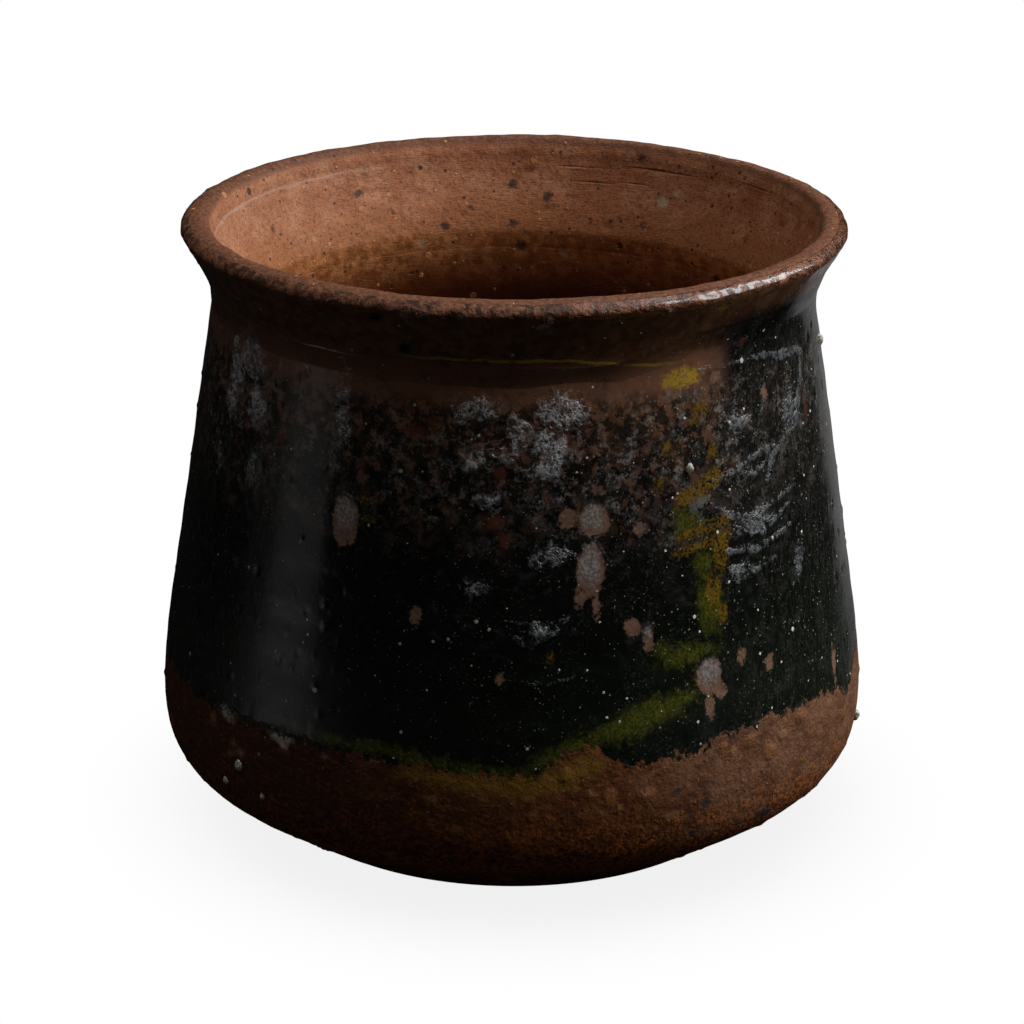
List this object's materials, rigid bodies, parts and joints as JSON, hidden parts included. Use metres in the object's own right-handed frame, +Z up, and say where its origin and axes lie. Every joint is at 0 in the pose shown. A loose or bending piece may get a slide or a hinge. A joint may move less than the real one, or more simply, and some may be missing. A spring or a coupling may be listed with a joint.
{
  "type": "ceramic pot",
  "caption": "Wheel-thrown stoneware pot with a flared rolled rim, narrow neck, low full belly, poured dark glaze outside, glaze lining and a bare clay foot.",
  "frame": {"origin": "middle of the foot, on the surface the pot stands on", "axes": "+Z up along the pot's axis, through the mouth; -Y is the side seen in the picture"},
  "size_m": [0.1308, 0.1307, 0.1135],
  "materials": {
    "stoneware": "bare red-brown stoneware, matt and gritty",
    "dark_glaze": "glossy iron-black glaze, breaking to brown and ochre",
    "liner_glaze": "thin orange-brown glaze, half gloss",
    "pale_stone": "pale grains melted round"
  },
  "bodies": {
    "root": {"stoneware_body": "stoneware", "dark_glaze": "dark_glaze", "liner_glaze": "liner_glaze", "pale_stone_foot_large": "pale_stone", "pale_stone_foot_middle": "pale_stone", "pale_stone_foot_small": "pale_stone", "pale_stone_neck": "pale_stone", "pale_stone_streak": "pale_stone", "grit_burr_shoulder": "pale_stone", "grit_burr_foot": "pale_stone"}
  },
  "joints": []
}
